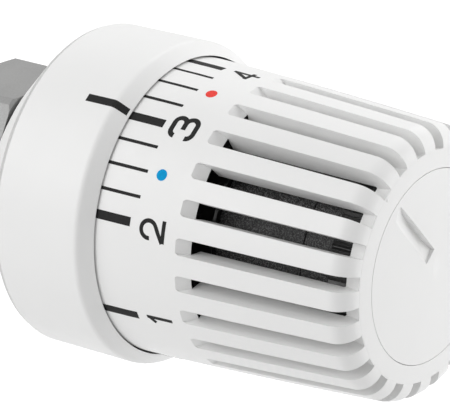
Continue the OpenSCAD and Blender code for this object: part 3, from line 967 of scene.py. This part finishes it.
@dataclass
class UnionNut:
    """The thread inside the coupling nut."""

    crest: float = 14.2 * MM
    root: float = 15.03 * MM
    pitch: float = 1.5 * MM
    start: float = 0.2 * MM
    turns: float = 4.4
    steps_per_turn: int = 48
    half_share: float = 0.46
    half_flat: float = 0.06 * MM

    def build(self) -> None:
        """Winds the thread's ridge as a closed helix."""
        ridge = bmesh.new()
        half = self.half_share * self.pitch
        corners = [
            (0.0, self.root),
            (half - self.half_flat, self.crest),
            (half + self.half_flat, self.crest),
            (2 * half, self.root),
        ]
        verts = [ridge.verts.new((self.start + x, 0, radius)) for x, radius in corners]
        face = ridge.faces.new(verts)
        bmesh.ops.spin(
            ridge,
            geom=[*face.verts, *face.edges, face],
            cent=(0, 0, 0),
            axis=(1, 0, 0),
            dvec=(self.pitch / self.steps_per_turn, 0, 0),
            angle=2 * pi * self.turns,
            steps=int(self.turns * self.steps_per_turn),
        )
        finish_piece("nut_thread", ridge, BLASTED_NICKEL, Body.NUT, Slot.NICKEL_BRASS)


@dataclass(frozen=True)
class SqueezedPart:
    """A spring or bellows that is squeezed between two bodies along the head's axis."""

    name: str
    node: str
    slot: Slot
    rear_body: Body
    front_body: Body
    weld: float = 0.001 * MM

    def build(self, node: bpy.types.Object) -> None:
        """Stands a smooth-shaded copy of the rigid node in its place and hides the node."""
        low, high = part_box(self.node)
        shape = bmesh.new()
        shape.from_mesh(node.data)
        bmesh.ops.remove_doubles(shape, verts=shape.verts, dist=self.weld)
        for face in shape.faces:
            face.smooth = True
            face.material_index = 0
        piece = add_object(self.name, shape, NODE_FINISHES[self.node], self.slot)
        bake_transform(piece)
        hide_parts(self.node)


SQUEEZED_PARTS = (
    SqueezedPart(
        "overtravel_coil", "overtravel_spring", Slot.SPRING_STEEL, Body.CAPSULE, Body.CARRIAGE
    ),
    SqueezedPart("bellows_folds", "bellows", Slot.BELLOWS_BRONZE, Body.CAPSULE, Body.PIN),
    SqueezedPart("return_coil", "return_spring", Slot.SPRING_STEEL, Body.CAPSULE, Body.PIN),
)


# ---------------------------------------------------------------- studio


@dataclass(frozen=True)
class Softbox:
    """One square soft light, its direction from the target and its power in watts."""

    name: str
    toward: tuple[float, float, float]
    power: float


@dataclass
class Studio:
    """The camera, the soft light and the pale floor."""

    target: Vector
    azimuth: float = 36.35
    elevation: float = 20.02
    distance: float = 1.116
    sidestep: tuple[float, float] = (6.737 * MM, -0.2105 * MM)
    lens: float = 508.88
    sensor: float = 36.0
    floor_level: float = -0.15
    floor_half: float = 8.0
    floor_glow: float = 0.45
    fill: float = 0.4
    softbox_size: float = 0.9
    softbox_distance: float = 1.0
    softboxes: tuple[Softbox, ...] = (
        Softbox("left_softbox", (-0.5, -0.7, 0.5), 5.6),
        Softbox("front_softbox", (0.0, -1.0, 0.1), 0.5),
        Softbox("right_softbox", (0.8, 0.6, 0.2), 5.4),
        Softbox("top_softbox", (0.0, 0.6, 0.8), 4.1),
    )

    def place_camera(self) -> None:
        """Sets the camera round the lip's centre."""
        swing = Matrix.Rotation(radians(self.azimuth), 3, "Z")
        turn = swing @ Matrix.Rotation(radians(90.0 - self.elevation), 3, "X")
        camera = bpy.data.objects.new("camera", bpy.data.cameras.new("camera"))
        bpy.context.scene.collection.objects.link(camera)
        camera.location = self.target + turn @ Vector((*self.sidestep, self.distance))
        camera.rotation_euler = turn.to_euler()
        camera.data.lens = self.lens
        camera.data.sensor_width = self.sensor
        bpy.context.scene.camera = camera

    def seen_rays(
        self, tree: bpy.types.NodeTree, unseen: float, seen: float
    ) -> bpy.types.NodeSocket:
        """A strength that differs for the rays that show a surface as it looks.

        Args:
            tree: The node tree it is built in.
            unseen: The strength for rays that only carry light.
            seen: The strength for camera, glossy and transmission rays.

        Returns:
            The strength's socket.
        """
        path = tree.nodes.new("ShaderNodeLightPath")
        total = path.outputs["Is Camera Ray"]
        for name in ("Is Glossy Ray", "Is Transmission Ray"):
            either = tree.nodes.new("ShaderNodeMath")
            either.operation = "MAXIMUM"
            tree.links.new(total, either.inputs[0])
            tree.links.new(path.outputs[name], either.inputs[1])
            total = either.outputs[0]
        spread = tree.nodes.new("ShaderNodeMapRange")
        tree.links.new(total, spread.inputs["Value"])
        spread.inputs["To Min"].default_value = unseen
        spread.inputs["To Max"].default_value = seen
        return spread.outputs["Result"]

    def light_world(self) -> None:
        """Sets a white surround that lights the head from all sides."""
        world = bpy.data.worlds.new("surround")
        bpy.context.scene.world = world
        world.use_nodes = True
        back = world.node_tree.nodes["Background"]
        back.inputs["Color"].default_value = (1, 1, 1, 1)
        strength = self.seen_rays(world.node_tree, self.fill, 1.0)
        world.node_tree.links.new(strength, back.inputs["Strength"])

    def add_softbox(self, box: Softbox) -> None:
        """Hangs one soft light that points at the head."""
        at = Vector(box.toward).normalized() * self.softbox_distance
        light = bpy.data.lights.new(box.name, "AREA")
        light.size, light.energy = self.softbox_size, box.power
        lamp = bpy.data.objects.new(box.name, light)
        bpy.context.scene.collection.objects.link(lamp)
        lamp.location = self.target + at
        lamp.rotation_euler = (-at).to_track_quat("-Z", "Y").to_euler()

    def lay_floor(self) -> None:
        """Lays the pale floor, which keeps the head's soft shadow."""
        shape = bmesh.new()
        level = Matrix.Translation((0, 0, self.floor_level))
        bmesh.ops.create_grid(
            shape, x_segments=1, y_segments=1, size=self.floor_half, matrix=level
        )
        mesh = bpy.data.meshes.new("floor")
        shape.to_mesh(mesh)
        shape.free()
        floor = bpy.data.objects.new("floor", mesh)
        bpy.context.scene.collection.objects.link(floor)
        paint = ShaderTree("pale_floor")
        paint.dress_shader(
            Base_Color=(0.8, 0.8, 0.8, 1.0),
            Roughness=0.9,
            Specular_IOR_Level=0.0,
            Emission_Color=(1.0, 1.0, 1.0, 1.0),
            Emission_Strength=self.seen_rays(paint.tree, 0.0, self.floor_glow),
        )
        mesh.materials.append(paint.material)

    def build(self) -> None:
        """Sets up the whole studio."""
        bpy.context.scene.view_settings.view_transform = "Standard"
        self.place_camera()
        self.light_world()
        for box in self.softboxes:
            self.add_softbox(box)
        self.lay_floor()


def main() -> None:
    """Loads the frame, dresses it and sets up the studio."""
    logging.basicConfig(level=logging.INFO, format="%(name)s: %(message)s")
    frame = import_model()
    for name, node in frame["nodes"].items():
        dress(node, NODE_FINISHES[name])
    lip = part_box("scale_collar")[1].x
    Dial(lip, Surface(frame["nodes"]["handwheel"])).build()
    Collar(lip, Surface(frame["nodes"]["scale_collar"])).build()
    UnionNut().build()
    for part in SQUEEZED_PARTS:
        part.build(frame["nodes"][part.node])
    Studio(Vector((lip, 0.0, 0.0))).build()


if __name__ == "__main__":
    main()
